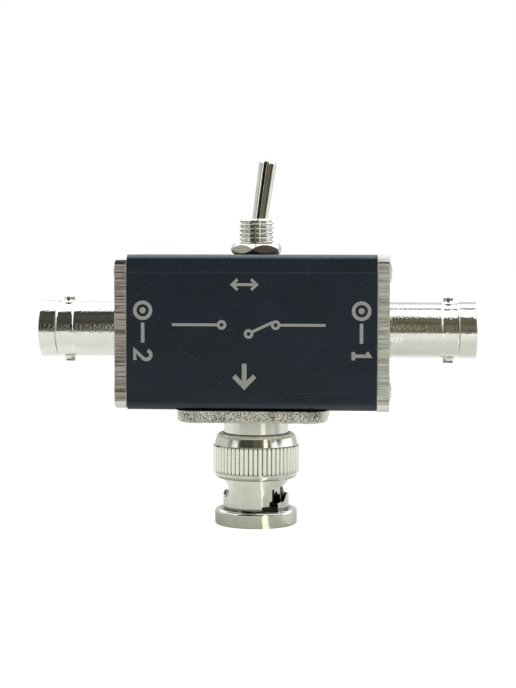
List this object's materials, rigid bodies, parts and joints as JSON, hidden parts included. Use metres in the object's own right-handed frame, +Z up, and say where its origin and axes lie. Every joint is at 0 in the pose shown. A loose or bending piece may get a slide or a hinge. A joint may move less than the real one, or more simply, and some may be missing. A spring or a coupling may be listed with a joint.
{
  "type": "coaxial antenna switch",
  "caption": "Inline coaxial selector: a bat toggle joins the bayonet plug below to the bayonet socket at either end of a square extruded housing.",
  "frame": {"origin": "centre of the plug's mouth plane, on the plug's axis", "axes": "+Z up from the plug's mouth to the toggle, +X out of socket 1, -Y out of the marked front face"},
  "size_m": [0.0737, 0.0254, 0.0619],
  "materials": {
    "anodised_housing": "blue-grey anodised, satin",
    "plate_nickel": "nickel plated, sawn edges",
    "screw_nickel": "nickel plated",
    "socket_nickel": "bright nickel over brass",
    "insulator_white": "moulded fluoropolymer",
    "contact_gold": "gold plated",
    "washer_steel": "zinc plated",
    "nut_nickel": "nickel plated",
    "toggle_chrome": "bright nickel plate",
    "lever_chrome": "bright plated bat lever",
    "frame_steel": "plated sheet steel",
    "case_phenolic": "moulded phenolic",
    "terminal_silver": "silver plated",
    "plunger_plastic": "moulded acetal",
    "spring_steel": "bare spring steel",
    "cast_nickel": "cast, nickel plated, rough edges",
    "plug_nickel": "bright nickel over brass",
    "coupling_nickel": "satin nickel, knurled",
    "gasket_rubber": "silicone rubber",
    "wire_copper": "bare copper"
  },
  "bodies": {
    "root": {"housing": "anodised_housing", "end_plate_1": "plate_nickel", "end_plate_2": "plate_nickel", "plate_screws_1": "screw_nickel", "plate_screws_2": "screw_nickel", "flange_screws": "screw_nickel", "toggle_bushing": "toggle_chrome", "toggle_panel_nut": "toggle_chrome", "toggle_frame": "frame_steel", "toggle_body": "case_phenolic", "terminal_left": "terminal_silver", "terminal_right": "terminal_silver", "terminal_common": "terminal_silver", "toggle_inner_nut": "nut_nickel", "toggle_lock_washer": "washer_steel", "plug_flange": "cast_nickel", "plug_shell": "plug_nickel", "plug_outer_contact": "plug_nickel", "plug_insulator": "insulator_white", "plug_pin": "contact_gold", "plug_gasket": "gasket_rubber", "wave_spring": "spring_steel", "wire_common": "wire_copper", "wire_1": "wire_copper", "wire_2": "wire_copper", "socket_1_shell": "socket_nickel", "socket_1_insulator": "insulator_white", "socket_1_contact": "contact_gold", "socket_1_lock_washer": "washer_steel", "socket_1_nut": "nut_nickel", "socket_2_shell": "socket_nickel", "socket_2_insulator": "insulator_white", "socket_2_contact": "contact_gold", "socket_2_lock_washer": "washer_steel", "socket_2_nut": "nut_nickel"},
    "thrust_ring": {"thrust_washer": "washer_steel"},
    "coupling": {"coupling_nut": "coupling_nickel"},
    "lever": {"toggle_lever": "lever_chrome", "toggle_plunger": "plunger_plastic", "toggle_spring": "spring_steel"},
    "rocker": {"contact_rocker": "terminal_silver"}
  },
  "joints": [
    {"name": "coupling_slide", "type": "slide", "parent": "root", "child": "thrust_ring", "axis": [0, 0, -1], "range_m": [0, 0.0009], "stiffness_N_per_m": 8000, "springref_m": -0.0004, "deforming": ["wave_spring"]},
    {"name": "coupling_spin", "type": "hinge", "parent": "thrust_ring", "child": "coupling", "pos_m": [0, 0, 0.0075], "axis": [0, 0, 1], "continuous": true},
    {"name": "lever_tilt", "type": "hinge", "parent": "root", "child": "lever", "pos_m": [0, 0, 0.0477], "axis": [0, 1, 0], "range_deg": [-16, 0]},
    {"name": "rocker_tilt", "type": "hinge", "parent": "root", "child": "rocker", "pos_m": [0, 0, 0.0396], "axis": [0, 1, 0], "range_deg": [0, 18]}
  ],
  "couplings": [
    {"joint": "rocker_tilt", "follows": "lever_tilt", "ratio": -1.125}
  ]
}
